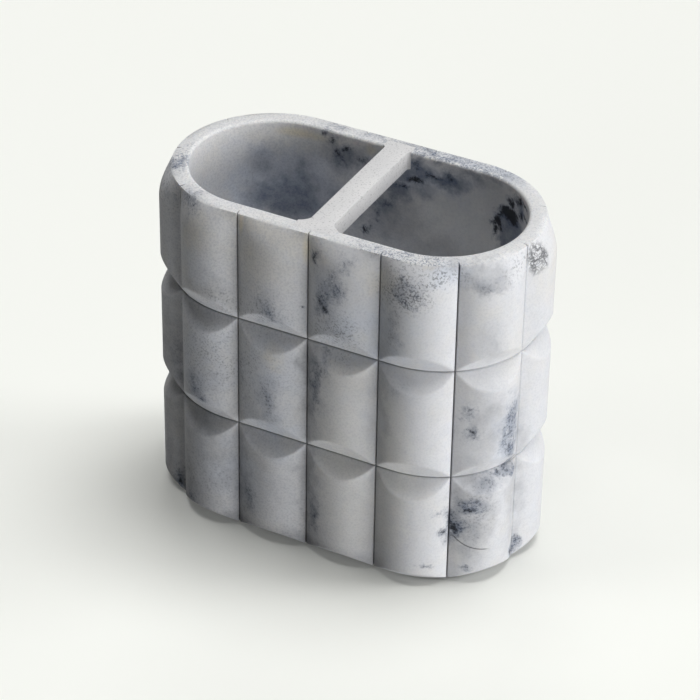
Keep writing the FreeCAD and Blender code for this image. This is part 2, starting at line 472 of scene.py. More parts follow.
# The black veins
MARKS = (
    # inside the left compartment
    ((-19.4, 22.5, 98), (2, 3, 2.8), 0.7), ((-17.7, 22.5, 95), (2.4, 3, 2.2), 0.8),
    ((-14.7, 22.5, 96.3), (2.4, 3, 2.4), 0.85), ((-16, 22.5, 93), (2.5, 3, 2), 0.6),
    ((-10, 22.5, 93.6), (2.8, 3, 1.8), 0.8), ((-22, 22.5, 99.6), (1.6, 3, 1.4), 0.8),
    # inside the right compartment
    ((2.4, 22.5, 89.8), (4.2, 3, 1.6), 0.9), ((6.4, 22.5, 92.4), (4.6, 3, 1.7), 1.1),
    ((11.5, 22.5, 95.6), (4.6, 3, 1.6), 0.9), ((16.3, 22.5, 95.5), (2.2, 3, 2.4), 0.8),
    ((6, 22.5, 97.5), (2.2, 3, 2.2), 0.7), ((-3.2, 22.5, 82.3), (2.8, 3, 1.8), 0.8),
    ((-0.8, 22.5, 84.9), (2, 3, 1.5), 0.7), ((-5.2, 22.5, 78), (1.4, 3, 2.8), 0.5),
    ((-6.7, 22.5, 74.6), (1.2, 3, 2.2), 0.4), ((-8.3, 22.5, 72.4), (2, 3, 2), 0.9),
    ((35.6, 20.1, 91.4), (4.4, 5, 4.2), 1.8), ((31.6, 21.5, 87.5), (2.6, 4, 4.6), 1.3),
    ((30, 22, 85.5), (1.6, 3, 4.5), 1.1), ((35.6, 20, 95.5), (3, 4, 2.2), 1.2),
    ((38.5, 17.8, 97.6), (4.0, 4, 2.2), 1.1), ((39.6, 17.2, 94.6), (2.6, 3, 2), 1.0),
    ((42, 15, 98.4), (4.5, 5, 0.9), 1.0), ((43, 13.6, 95), (4, 5, 0.8), 0.9),
    # top tier
    ((2.9, -28.9, 95.2), (1.6, 3, 3.4), 0.9), ((3.6, -29.2, 97.5), (1.4, 3, 2.6), 0.5),
    ((4.3, -29.4, 83), (2.8, 3, 4), 1.0), ((6.2, -30, 81), (2.4, 3, 2), 0.9),
    ((9, -30.4, 87.5), (4, 3, 5), 0.5), ((12, -29.2, 95.6), (2.6, 3, 2.4), 0.3),
    ((-9.8, -30.4, 73.5), (2.6, 3, 3.2), 0.5), ((-1.1, -27.9, 78), (0.9, 2, 0.9), 0.9),
    ((28, -30, 93.5), (5, 3, 5), 0.2), ((-34, -27, 99.2), (2.6, 3, 2), 0.5),
    # middle tier
    ((6, -28.9, 66), (2, 3, 3.4), 0.6), ((3.4, -29, 58), (2, 3, 6), 0.45),
    ((44.4, -21.5, 56), (2.4, 3, 3), 0.55), ((45.6, -21, 50), (3, 3, 3), 0.65),
    ((-33.5, -29.2, 44.5), (1.7, 3, 3.4), 0.6), ((-30.5, -30, 40.3), (2.4, 3, 1.7), 0.5),
    # bottom tier
    ((46.6, -20.6, 23.8), (5.5, 4, 1.8), 0.8), ((41.7, -22, 18.2), (3, 4, 2.6), 1.1),
    ((39.8, -24, 16.9), (1.8, 2, 1.7), 0.9), ((45.5, -21.1, 5.6), (2.2, 3, 1.6), 0.9),
    ((52.3, -6.4, 3.2), (2, 3, 2.6), 1.2), ((-42.6, -22, 3.2), (1.4, 3, 3.2), 1.1),
    ((-35.8, -28.2, 6.2), (1.7, 3, 2.2), 0.5), ((38.6, -25.7, 23.7), (1.7, 2, 1.6), 0.4),
    ((36.5, -27.7, 6.6), (2.6, 3, 0.9), 0.6), ((-16, -29.7, 12), (2, 3, 3.4), 0.3),
    ((3.1, -29, 13), (1.6, 3, 5), 0.45),
)
# Where the ground is thick with fine specks
SPECKLED = (
    ((29, -29.5, 93), (12, 6, 9), 0.9),
    ((38, -27, 98), (18, 10, 6), 0.8), ((53, -10, 97), (8, 16, 7), 0.5),
    ((-46, -17, 96), (12, 12, 9), 0.5), ((-18, -30, 73), (22, 5, 10), 0.6),
    ((10, -30, 74), (14, 6, 14), 0.6), ((-26, -30, 55), (34, 6, 20), 0.45),
    ((47, -20, 24), (9, 7, 12), 0.6), ((-30, -28, 15), (26, 8, 16), 0.35),
)
# Where the rim is dusted with the finest specks
DUSTY = (
    ((-47, -10, 101), (6, 10, 5), 1.0), ((14, 25, 101), (28, 6, 5), 1.0),
    ((28, -25, 101), (20, 7, 5), 1.0),
)
# Where it is warmer, the warm patch high in the left compartment being part of the painted glow
# under the rim; where a painted amber glow shows at an edge; and where it is paler
WARM = (
    ((-16, -30, 90), (26, 8, 15), 0.7), ((-30, 20, 99), (34, 10, 11), 1.0),
    ((-50, 4, 96), (8, 20, 12), 0.8), ((-12, -28, 99), (24, 8, 5), 0.9),
    ((14, 22, 80), (26, 8, 14), 0.8), ((14, -30, 62), (14, 8, 7), 0.7),
    ((54, 8, 88), (6, 18, 16), 0.8), ((36, -24, 102), (22, 12, 2.4), 0.9),
    ((-32, -28, 93), (10, 8, 12), 0.9), ((18, -30, 16), (14, 8, 18), 0.6),
    ((-2, -29, 97), (14, 6, 7), 1.0), ((21, -29, 94), (10, 6, 7), 0.9),
    ((-9, -30, 61), (7, 6, 7), 0.8), ((53, -10, 70), (7, 10, 24), 0.5),
    ((30, 21, 82), (14, 8, 12), 0.8),
)
# A painted amber glow, where light through the thin cast would show at an edge
AMBER_GLOW = (
    ((-28, 21.6, 97.6), (14, 3, 2.4), 0.9), ((-7.3, 21.5, 98), (3, 2, 3.2), 1.0),
    ((-19.6, -28, 98), (1.4, 2, 5), 0.8), ((-0.3, -27.5, 96), (1.6, 2, 7), 0.8),
)
# Where it is paler; the patches inside the cavity are painted light
PALE_AND_LIT = (
    ((-30, 21, 98.5), (18, 8, 7), 1.0), ((16, 22.5, 82), (24, 8, 13), 0.9),
    ((42, 15, 99), (9, 10, 5), 0.4), ((25, 22.5, 90), (7, 5, 8), 0.8),
    ((12, -30, 34), (11, 7, 42), 1.3), ((27, -29, 34), (8, 6, 38), 1.3),
)
# Where it is cooler, and where shade is painted in as darker patches
COOL = (
    ((20, -30, 73), (28, 8, 18), 1.0), ((-30, -29, 85), (12, 8, 16), 0.6),
    ((-30, -29, 50), (16, 9, 26), 0.8), ((-22, -30, 20), (18, 8, 20), 0.7),
    ((-10, -30, 58), (14, 8, 28), 0.7), ((52, -12, 46), (6, 8, 20), 0.8),
    ((42, -24, 98), (12, 10, 5), 0.9), ((-9, -30, 38), (14, 8, 14), 0.8),
    ((5, -30, 86), (9, 6, 10), 0.8), ((15, -30, 48), (9, 8, 11), 0.8),
    ((28, 24, 101), (26, 8, 4), 1.0),
    ((-30, 20, 84), (22, 12, 18), 1.0), ((-42, 15, 80), (10, 9, 11), 1.4),
    ((10, 22, 94), (22, 6, 9), 1.0),
)
# Painted shade: darker patches on the tiles, low by the base and inside beside the bar
PAINTED_SHADE = (
    ((-32, -28, 20), (18, 10, 32), 1.3), ((-12, -30, 20), (9, 6, 24), 0.5),
    ((2, 22, 78), (14, 6, 14), 1.0), ((-45, -20, 40), (11, 11, 38), 1.0),
    ((-19, -28.3, 20), (4.5, 5, 24), 1.1), ((1.5, -28.3, 56), (4.5, 5, 20), 1.1),
    ((1.5, -28.3, 22), (4, 5, 26), 0.8), ((22.5, -28.5, 60), (3.4, 5, 50), 0.6),
    ((-27, -30, 76), (11, 6, 8), 0.9), ((49, -17, 76), (8, 8, 14), 0.6),
    ((53, -8, 30), (6, 8, 40), 1.0), ((-28, -30, 50), (9, 6, 15), 0.7),
    ((-12, -30, 42), (9, 6, 8), 0.6),
    ((-46, -20, 14), (6, 8, 14), 0.8), ((11, 22, 73), (32, 6, 9), 0.7),
    ((-24, -30, 0), (42, 12, 7), 1.2), ((-51, -12, 92), (6, 14, 14), 0.6),
    ((47, -20, 24), (10, 8, 26), 1.2), ((48, -18, 52), (9, 8, 16), 1.1),
    ((47, -19, 97), (11, 9, 6), 1.5),
)
# The patch of fine cracks
CRACKLE = ((54.0, -2.4, 95.8), (4.2, 4.6, 5.4), 1.0)
# The thin dark arc low on the right: a circle seen from the front, and where it shows
ARC_MIDDLE, ARC_RADIUS = (53.5, 0, 26.5), 16.0
ARC_PATCH = ((46, -20.5, 13), (7, 6, 5), 1.0)


class Cast:
    """The places on the cup that its marks go by: coordinates in mm, the same ones set
    wandering, masks for its parts, and the noises that several marks share."""

    def __init__(self, paint, sizes):
        self.place = paint.vector("MULTIPLY", paint.place, (1 / MILLIMETRE,) * 3)
        wander = paint.node(
            "ShaderNodeTexNoise", {"noise_dimensions": "3D"},
            {"Vector": paint.place, "Scale": 1 / 0.007, "Detail": 4.0, "Roughness": 0.65}, 1)
        off = paint.vector("SUBTRACT", wander, (0.5, 0.5, 0.5))
        self.warped, self.nearly = (
            paint.vector("ADD", self.place, paint.vector("MULTIPLY", off, (stray,) * 3))
            for stray in (12, 5))
        self.x, self.y, self.z = (
            paint.node("ShaderNodeSeparateXYZ", {}, {0: self.place}, axis)
            for axis in range(3))
        # How far out from the line between the bend centres
        past = (abs(self.x) - in_millimetres(sizes.half_straight)).at_least(0.0)
        self.outward = (past * past + self.y * self.y) ** 0.5
        self.groove = in_millimetres(CUP_HIGH.y - sizes.tile_bulge)
        self.cavity = self.groove - in_millimetres(sizes.wall)
        self.rim = in_millimetres(CUP_HIGH.z)
        low, tier = in_millimetres(CUP_LOW.z), in_millimetres(sizes.lower_tier)
        self.tier_lines = (low + tier, low + 2 * tier)
        self.inside = paint.step(self.outward, self.cavity + 0.4, self.cavity + 0.1)
        self.high = paint.step(self.z, self.rim - 0.8, self.rim - 0.3)
        # The back and the left end, which the photo doesn't show
        self.hidden = paint.step(self.y, 24, 29).at_least(paint.step(self.x, -50, -56))
        self.mottle = paint.noise(0.0042, 4.0, 0.65) - 0.5
        self.fine = paint.noise(0.0006, 2.0, 0.65)


def stone_ground(paint, cast, looks):
    """The pale ground: warmer, cooler, paler and grimy by turns, with a fine grain."""
    warm, cool, pale, painted_shade = (
        paint.step(paint.patches(cast.warped, spots), 0.0, 0.8)
        for spots in (WARM, COOL, PALE_AND_LIT, PAINTED_SHADE))
    amber_glow = paint.step(paint.patches(cast.place, AMBER_GLOW), 0.0, 0.8)
    tone = paint.step(paint.noise(0.012, 3.0, 0.6, seed=2.0), 0.45, 0.7)
    # Painted light: the cavity's wall paler just under the rim, joined below to the paler patches
    # and the rim
    lip_light = cast.inside * paint.step(cast.z, cast.rim - 5.7, cast.rim - 0.2)
    pale = pale.at_least(cast.high * (0.8 - cool * 0.4)).at_least(lip_light)
    # Painted shade: darker towards the base, fading out towards the right end
    base_shade = paint.step(cast.z, 7.0, 1.5) * paint.step(cast.x, 36.0, 0.0)
    painted_shade = painted_shade.at_least(base_shade * 1.8)
    grain = paint.step(cast.fine, 0.40, 0.66) * (paint.step(cast.x, 30.0, -20.0) * 0.09 + 0.07)
    colour = paint.mix(cool, looks.stone, looks.cool_stone)
    colour = paint.mix(warm.at_least(tone * 0.4), colour, looks.warm_stone)
    colour = paint.mix(pale, colour, looks.pale_stone)
    # A painted amber glow at thin edges
    colour = paint.mix(amber_glow, colour, looks.amber_glow)
    # The painted shade, mottled
    colour = paint.mix(painted_shade * (0.28 + cast.mottle * 0.5), colour, looks.painted_shade)
    colour = paint.mix(grain, colour, looks.cloud)
    return paint.mix(paint.step(cast.mottle, -0.15, 0.2) * 0.05, colour, looks.cloud)


def clouds_and_specks(paint, cast):
    """How strong the blue-grey clouds are, and the fine dark specks, thickest in them."""
    broad = paint.step(paint.noise(0.030, 3.0, 0.55, 0.8), 0.50, 0.68) * cast.hidden
    cloud = paint.step(paint.patches(cast.warped, CLOUDS).at_least(broad * 0.9), 0.0, 0.75)
    cloud = cloud * (0.80 + cast.mottle * (1.0 - cast.inside * 0.6) * 2.2)
    speckled = paint.step(paint.patches(cast.warped, SPECKLED), 0.0, 0.7)
    speckled = speckled * (0.75 + cast.mottle * 2.0) * (1.0 - cast.high * 0.7)
    thick = cloud.at_least(speckled).at_least(0.0)
    specks = paint.step(cast.fine, 0.56 - thick * 0.10, 0.68 - thick * 0.12)
    return cloud, specks * (thick * 0.60 + 0.02) * (1.0 - cast.inside * 0.85)


def rim_dust(paint, cast):
    """The finest specks, on the rim only."""
    dust = paint.step(paint.noise(0.0005, 2.0, 0.7, seed=3.0), 0.46, 0.64) * cast.high
    return dust * (paint.step(paint.patches(cast.warped, DUSTY), 0.0, 0.6) * 0.5 + 0.16)


def rim_chips(paint, cast):
    """Small pale chips along the rim's inner edge."""
    ragged = paint.noise(0.0012, 2.0, 0.7, seed=7.0)
    edge = paint.step(abs(cast.outward - (cast.cavity + 0.5)), 0.7, 0.3)
    edge = edge * paint.step(cast.z, cast.rim - 1.3, cast.rim - 0.8)
    return paint.step(ragged, 0.54, 0.62) * edge


def groove_shades(paint, cast):
    """Painted shade: dark in the slits between tiles, and darker on the flanks of the upright
    grooves.
    """
    wall = paint.step(cast.outward, cast.cavity + 1.7, cast.cavity + 2.5)
    wall = wall * paint.step(cast.z, cast.rim - 0.5, cast.rim - 1.3)
    slit = paint.step(cast.outward, cast.groove, cast.groove - 0.25) * wall
    flank_shade = paint.step(cast.outward, cast.groove + 1.3, cast.groove) * wall
    low_line, high_line = (abs(cast.z - line) for line in cast.tier_lines)
    flank_shade = flank_shade * paint.step(low_line.at_most(high_line), 0.8, 3.0)
    flank_shade = flank_shade * paint.step(cast.z, 98.0, 84.0)
    flank_shade = flank_shade * paint.step(cast.x, 34.0, 4.0) * paint.step(cast.x, -44.0, -32.0)
    return slit * paint.step(cast.x, 48.0, 38.0), flank_shade


def crackled_patch(paint, cast):
    """A net of fine and wide cracks near the rim's right end."""
    fine, wide = (
        paint.node(
            "ShaderNodeTexVoronoi", {"feature": "DISTANCE_TO_EDGE"},
            {"Vector": where, "Scale": 1 / size})
        for where, size in ((cast.nearly, 1.2), (cast.warped, 3.2)))
    crackle = paint.step(wide, 0.16, 0.03).at_least(paint.step(fine, 0.12, 0.03) * 0.7)
    return crackle * paint.step(paint.patch(cast.nearly, *CRACKLE), 0.0, 0.35)


def thin_arc(paint, cast):
    """One thin dark arc low on the right."""
    flat = paint.vector("MULTIPLY", cast.place, (1, 0, 1))
    reach = paint.node(
        "ShaderNodeVectorMath", {"operation": "DISTANCE"}, {0: flat, 1: ARC_MIDDLE}, 1)
    line = paint.step(abs(reach - ARC_RADIUS), 0.28, 0.08)
    return line * paint.step(paint.patch(cast.place, *ARC_PATCH), 0.0, 0.3)


def black_veins(paint, cast):
    """The ragged black veins, and the bluish halo round them."""
    streak = paint.noise(0.0020, 4.0, 0.75, 0.5) - 0.5
    rare = paint.step(paint.noise(0.022, 4.0, 0.6, 1.5, seed=5.0), 0.62, 0.70) * cast.hidden
    veins = paint.patches(cast.nearly, MARKS).at_least(rare * 1.4 - 0.6)
    broken = veins + streak * 2.0 + (cast.fine - 0.5) * 0.6
    black = paint.step(broken, 0.35, 0.95).at_least(crackled_patch(paint, cast) * 0.75)
    return paint.step(broken, -0.1, 0.75), black.at_least(thin_arc(paint, cast) * 0.7)


def veined_stone(looks, sizes):
    """Honed cast stone: pale ground, blue-grey clouds of fine specks, and black veins."""
    paint = Paint("veined_stone")
    cast = Cast(paint, sizes)
    cloud, specks = clouds_and_specks(paint, cast)
    slit, flank_shade = groove_shades(paint, cast)
    halo, black = black_veins(paint, cast)
    colour = stone_ground(paint, cast, looks)
    colour = paint.mix(cloud * (0.66 + cast.inside * 0.20), colour, looks.cloud)
    colour = paint.mix(specks, colour, looks.vein)
    colour = paint.mix(rim_dust(paint, cast), colour, looks.cloud)
    colour = paint.mix(rim_chips(paint, cast), colour, looks.pale_stone)
    # Painted shade on the groove flanks and in the slits
    colour = paint.mix(flank_shade * 0.26, colour, looks.painted_shade)
    colour = paint.mix(slit * 0.4, colour, looks.vein)
    colour = paint.mix(halo * 0.5, colour, looks.cloud)
    colour = paint.mix(black * 0.94, colour, looks.vein)
    return paint.finish(
        Base_Color=colour, Roughness=0.72, Specular_IOR_Level=0.3,
        Subsurface_Weight=0.2, Subsurface_Radius=(1.0, 0.8, 0.6), Subsurface_Scale=0.002,
        Normal=paint.bump(paint.noise(0.0007, 3.0, 0.7), 0.00004))


def plain_stone(looks):
    """The same stone without veins, as cast for the cross bar."""
    paint = Paint("plain_stone")
    grain = paint.noise(0.0007, 3.0, 0.7)
    tone = paint.step(paint.noise(0.009, 3.0, 0.6), 0.4, 0.7)
    specks = paint.step(paint.noise(0.0006, 2.0, 0.65), 0.54, 0.68)
    colour = paint.mix(tone * 0.06, looks.plain, looks.cloud)
    colour = paint.mix(specks * 0.3, colour, looks.vein)
    return paint.finish(
        Base_Color=colour, Roughness=0.72, Specular_IOR_Level=0.3,
        Normal=paint.bump(grain, 0.00006))


def pad_rubber(looks):
    """Pale soft rubber of the non-slip pads."""
    paint = Paint("pad_rubber")
    grain = paint.noise(0.0004, 2.0, 0.5)
    colour = paint.mix(grain * 0.3, looks.pad, looks.pad_grain)
    return paint.finish(
        Base_Color=colour, Roughness=0.6, Normal=paint.bump(grain, 0.00003))


# The cup

CYLINDER_SIDES = 144
TRACK_STEPS = 256
TILE_ROWS = 6
SWELL_ROWS = 12
WALL_ROWS = 10
RIM_ROWS = 3
MOUTH_STEPS = 5
FLOOR_ROUND_STEPS = 6
RECESS_SIDES = 64
# Millimetres: what the bent row of columns may miss where its ends meet, how far the base's
# edge runs in under the tiles, how far a pocket's cutter runs past what it cuts, and the gap
# round a pad
SEAM_GAP = 0.02
BASE_LIP = 1.0
POCKET_OVERRUN = 3.0
PAD_SIDE_GAP = 0.2
# Degrees: edges sharper than this stay sharp
CUP_SMOOTH_ANGLE = 50
BAR_SMOOTH_ANGLE = 35


class TileFace:
    """The plan and edges of a tile's face, in mm, once a slit is taken off all round."""

    def __init__(self, width, height, low_bevel, sizes):
        slit = in_millimetres(sizes.slit_width) / 2
        self.low, self.high, self.left, self.right = slit, height - slit, slit, width - slit
        self.worn = in_millimetres(sizes.edge_round) / 2
        self.bevel, self.low_bevel = in_millimetres(sizes.tile_bevel), low_bevel
        bulge = in_millimetres(sizes.tile_bulge)
        self.half = (self.right - self.left) / 2
        self.radius = (self.half ** 2 + bulge ** 2) / (2 * bulge)
        self.middle = Vector((width / 2, self.radius - bulge, height / 2))
        self.up = Vector((0, -self.bevel, bulge)).normalized()
        self.down = Vector((0, -low_bevel, -bulge)).normalized()


def pillow(name, face):
    """A slice of an upright cylinder, bevelled back at its top and bottom, without its back."""
    deselect_everything()
    bpy.ops.mesh.primitive_cylinder_add(
        vertices=CYLINDER_SIDES, radius=face.radius, depth=face.high - face.low,
        location=face.middle)
    obj = start(name)
    cut((0, 0, 0), (0, 1, 0), keep_below=True)
    cut((0, 0, face.high), face.up, keep_below=True)
    cut((0, 0, face.low), face.down, keep_below=True)
    pick(obj, "FACE", lambda side: side.normal.y > FACING)
    bpy.ops.mesh.delete(type="FACE")
    return obj


def add_lines(obj, face):
    """Cuts the lines that a tile bends along, and those of its worn edges."""
    pick(obj, "FACE", lambda side: abs(side.normal.z) > LEANING)
    bpy.ops.mesh.inset(thickness=face.worn, depth=0)
    cut(Vector((0, 0, face.high)) - face.up * face.worn, face.up)
    cut(Vector((0, 0, face.low)) - face.down * face.worn, face.down)
    turn = 2 * math.pi / CYLINDER_SIDES
    steps = int(math.asin(face.half / face.radius) / turn) + 1
    for step in range(-steps, steps + 1):
        x = face.middle.x + face.radius * math.sin(step * turn)
        if face.left < x < face.right:
            cut((x, 0, 0), (1, 0, 0))
    for x in (face.left + face.worn / 2, face.right - face.worn / 2):
        cut((x, 0, 0), (1, 0, 0))
    span = face.high - face.low - face.bevel - face.low_bevel
    for row in range(1, TILE_ROWS):
        cut((0, 0, face.low + face.low_bevel + span * row / TILE_ROWS), (0, 0, 1))


def swell_out(obj, face, swell):
    """Curves the face out from nothing at its top to full over a height, as a parabola."""
    for row in range(1, SWELL_ROWS + 1):
        cut((0, 0, face.high - swell * row / SWELL_ROWS), (0, 0, 1))
    for vert in bmesh.from_edit_mesh(obj.data).verts:
        left_to_go = 1 - (face.high - vert.co.z) / swell
        if left_to_go > 0:
            out = face.middle.y - math.sqrt(face.radius ** 2 - (vert.co.x - face.middle.x) ** 2)
            vert.co.y = out * (1 - left_to_go ** 2)
    bmesh.update_edit_mesh(obj.data)


def tile(name, width, height, low_bevel, sizes, swell=0):
    """One tile, its lower left corner at the origin, its face towards -Y, with a slit's wall
    round it. With a swell, the face curves out over that height from the top."""
    face = TileFace(width, height, low_bevel, sizes)
    obj = pillow(name, face)
    add_lines(obj, face)
    if swell:
        swell_out(obj, face, swell)
    bpy.ops.mesh.remove_doubles(threshold=MERGE_GAP)
    pick(obj, "EDGE", lambda edge: edge.is_boundary)
    bpy.ops.mesh.extrude_edges_move(
        TRANSFORM_OT_translate={"value": (0, in_millimetres(sizes.slit_depth), 0)})
    bpy.ops.transform.resize(
        value=(width / (face.right - face.left), 1, height / (face.high - face.low)),
        center_override=(width / 2, 0, height / 2))
    bpy.ops.object.mode_set(mode="OBJECT")
    return obj


def racetrack_curve(sizes, radius):
    """The closed line through the grooves' bottoms, from the front middle to the right. A
    closed curve's length is counted from its last point, so the front middle comes last."""
    half = in_millimetres(sizes.half_straight)
    handle = 4 / 3 * math.tan(math.pi / 8) * radius
    # Each point: place, handle before and handle after, as offsets
    points = [
        ((half, -radius), (-half / 3, 0), (handle, 0)),
        ((half + radius, 0), (0, -handle), (0, handle)),
        ((half, radius), (handle, 0), (-half / 3, 0)),
        ((-half, radius), (half / 3, 0), (-handle, 0)),
        ((-half - radius, 0), (0, handle), (0, -handle)),
        ((-half, -radius), (-handle, 0), (half / 3, 0)),
        ((0, -radius), (-half / 3, 0), (half / 3, 0)),
    ]
    data = bpy.data.curves.new("racetrack", "CURVE")
    data.dimensions = "3D"
    data.twist_mode = "Z_UP"
    data.resolution_u = TRACK_STEPS
    spline = data.splines.new("BEZIER")
    spline.bezier_points.add(len(points) - 1)
    for point, (place, before, after) in zip(spline.bezier_points, points):
        point.handle_left_type = point.handle_right_type = "FREE"
        point.co = (*place, 0)
        point.handle_left = (place[0] + before[0], place[1] + before[1], 0)
        point.handle_right = (place[0] + after[0], place[1] + after[1], 0)
    spline.use_cyclic_u = True
    obj = bpy.data.objects.new("racetrack", data)
    bpy.context.scene.collection.objects.link(obj)
    return obj, spline.calc_length()


def rounded_steps(radius, count, convex):
    """Small steps in and down round a quarter turn: convex for an edge, or hollow."""
    angles = [math.pi / 2 * step / count for step in range(count + 1)]
    for before, after in zip(angles, angles[1:]):
        inward = radius * (math.sin(after) - math.sin(before))
        down = radius * (math.cos(before) - math.cos(after))
        yield (inward, down) if convex else (down, inward)


def grow(inward, down):
    """Extrudes the selected boundary edges inwards and down."""
    bpy.ops.mesh.extrude_edges_move(TRANSFORM_OT_translate={"value": (0, inward, -down)})


def line_column(obj, sizes, height):
    """Grows the rim, the cavity's wall and floor corner, and the base's edge from a column."""
    wall = in_millimetres(sizes.wall - sizes.slit_depth)
    mouth = in_millimetres(sizes.mouth_round)
    floor_round = in_millimetres(sizes.floor_round)
    floor = in_millimetres(sizes.floor)
    take(obj)
    bpy.ops.object.mode_set(mode="EDIT")
    pick(obj, "EDGE", lambda edge: both_ends(edge, lambda at: at.z > height - NEAR))
    for row in range(RIM_ROWS):
        grow((wall - mouth) / RIM_ROWS, 0)
    for inward, down in rounded_steps(mouth, MOUTH_STEPS, True):
        grow(inward, down)
    for row in range(WALL_ROWS):
        grow(0, (height - mouth - floor - floor_round) / WALL_ROWS)
    for inward, down in rounded_steps(floor_round, FLOOR_ROUND_STEPS, False):
        grow(inward, down)
    pick(obj, "EDGE", lambda edge: both_ends(edge, lambda at: at.z < NEAR))
    grow(BASE_LIP, 0)
    bpy.ops.object.mode_set(mode="OBJECT")


def close_shell(shell, low):
    """Merges the seam where the bent row meets, and closes the base and the cavity's floor."""
    merge(shell, SEAM_GAP)
    bpy.ops.object.mode_set(mode="EDIT")
    pick(shell, "EDGE", lambda edge: edge.is_boundary and edge.verts[0].co.z < low + NEAR)
    bpy.ops.mesh.edge_face_add()
    pick(shell, "EDGE", lambda edge: edge.is_boundary)
    bpy.ops.mesh.edge_face_add()
    bpy.ops.mesh.select_all(action="SELECT")
    bpy.ops.mesh.normals_make_consistent(inside=False)
    bpy.ops.object.mode_set(mode="OBJECT")


def cup_shell(sizes):
    """The cast cup: a column of tiles with its share of the rim and wall, arrayed and bent
    round the racetrack, then closed by the cavity's floor and by the base."""
    low = in_millimetres(CUP_LOW.z)
    height = in_millimetres(CUP_HIGH.z) - low
    radius = in_millimetres(CUP_HIGH.y - sizes.tile_bulge)
    lower = in_millimetres(sizes.lower_tier)
    track, length = racetrack_curve(sizes, radius)
    pitch = length / sizes.tile_columns
    bevel = in_millimetres(sizes.tile_bevel)
    column = tile("cast_cup", pitch, lower, in_millimetres(sizes.base_bevel), sizes)
    middle = tile("middle_tile", pitch, lower, bevel, sizes)
    middle.location.z = lower
    top = tile(
        "top_tile", pitch, height - 2 * lower, bevel, sizes, in_millimetres(sizes.top_swell))
    top.location.z = 2 * lower
    join(column, [middle, top])
    line_column(column, sizes, height)
    add_modifier(
        column, "ARRAY", count=sizes.tile_columns, use_relative_offset=False,
        use_constant_offset=True, constant_offset_displace=(pitch, 0, 0),
        use_merge_vertices=True, merge_threshold=MERGE_GAP)
    add_modifier(column, "CURVE", object=track, deform_axis="POS_X")
    bpy.data.objects.remove(track)
    column.location.z = low
    take(column)
    bpy.ops.object.transform_apply(location=True, rotation=False, scale=False)
    close_shell(column, low)
    return column


def pocket(sizes, side, flare):
    """A block where the bar's end is let into the rim, at the front or the back."""
    gap = in_millimetres(sizes.bond_gap)
    half = in_millimetres(bar_half_width(sizes) + flare) + gap
    reach = in_millimetres(BAR_HIGH.y) + gap
    floor = in_millimetres(BAR_LOW.z)
    top = in_millimetres(BAR_HIGH.z) + POCKET_OVERRUN
    inner = in_millimetres(CUP_HIGH.y - sizes.tile_bulge - sizes.wall) - POCKET_OVERRUN
    deselect_everything()
    bpy.ops.mesh.primitive_cube_add(
        size=1, scale=(2 * half, reach - inner, top - floor),
        location=(
            in_millimetres(sizes.bar_shift), side * (inner + reach) / 2, (floor + top) / 2))
    return bpy.context.active_object


def recess(node):
    """A disc where a non-slip pad is let into the base."""
    low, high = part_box(node)
    middle = (low + high) / 2
    radius = in_millimetres((high.x - low.x) / 2) + PAD_SIDE_GAP
    depth = in_millimetres(high.z)
    deselect_everything()
    bpy.ops.mesh.primitive_cylinder_add(
        vertices=RECESS_SIDES, radius=radius, depth=2 * depth,
        location=(in_millimetres(middle.x), in_millimetres(middle.y), 0))
    return bpy.context.active_object


# The cross bar

FLARE_STEPS = 10
BAR_EDGE_STEPS = 3
# Degrees: edges sharper than this are rounded
BAR_EDGE_ANGLE = 40


def bar_half_width(sizes):
    """Half the bar's width between its flares, in metres, from the frame."""
    return (BAR_HIGH.x - BAR_LOW.x) / 2 - sizes.bar_front_flare


def flare_ends(bar, half, wall, flares):
    """Widens the bar's ends past the wall's face and rounds the corners that this leaves."""
    for side, flare in flares.items():
        for way in (-1, 1):
            pick(bar, "FACE", lambda face: (
                face.normal.x * way > FACING and face.calc_center_median().y * side > wall))
            bpy.ops.mesh.extrude_region_move(
                TRANSFORM_OT_translate={"value": (way * flare, 0, 0)})
    for side, flare in flares.items():
        pick(bar, "EDGE", lambda edge: both_ends(edge, lambda at: (
            abs(abs(at.x) - half) < NEAR and abs(at.y - side * wall) < NEAR)))
        bpy.ops.mesh.bevel(offset=flare - NEAR, segments=FLARE_STEPS, profile=0.5)


def cross_bar(sizes):
    """The bar, with flared ends that are let into the wall."""
    half = in_millimetres(bar_half_width(sizes))
    low, high = in_millimetres(BAR_LOW.z), in_millimetres(BAR_HIGH.z)
    reach = in_millimetres(BAR_HIGH.y)
    wall = reach - in_millimetres(sizes.bar_let_in)
    deselect_everything()
    bpy.ops.mesh.primitive_cube_add(
        size=1, location=(0, 0, (low + high) / 2), scale=(2 * half, 2 * reach, high - low))
    bar = start("cross_bar")
    for y in (-wall, 0, wall):
        cut((0, y, 0), (0, 1, 0))
    flare_ends(bar, half, wall, {
        -1: in_millimetres(sizes.bar_front_flare), 1: in_millimetres(sizes.bar_back_flare)})
    bpy.ops.mesh.select_all(action="SELECT")
    bpy.ops.mesh.normals_make_consistent(inside=False)
    bpy.ops.transform.translate(value=(in_millimetres(sizes.bar_shift), 0, 0))
    bpy.ops.object.mode_set(mode="OBJECT")
    add_modifier(
        bar, "BEVEL", limit_method="ANGLE", angle_limit=math.radians(BAR_EDGE_ANGLE),
        width=in_millimetres(sizes.bar_edge_round), segments=BAR_EDGE_STEPS)
    return bar


# One operator for each piece or group


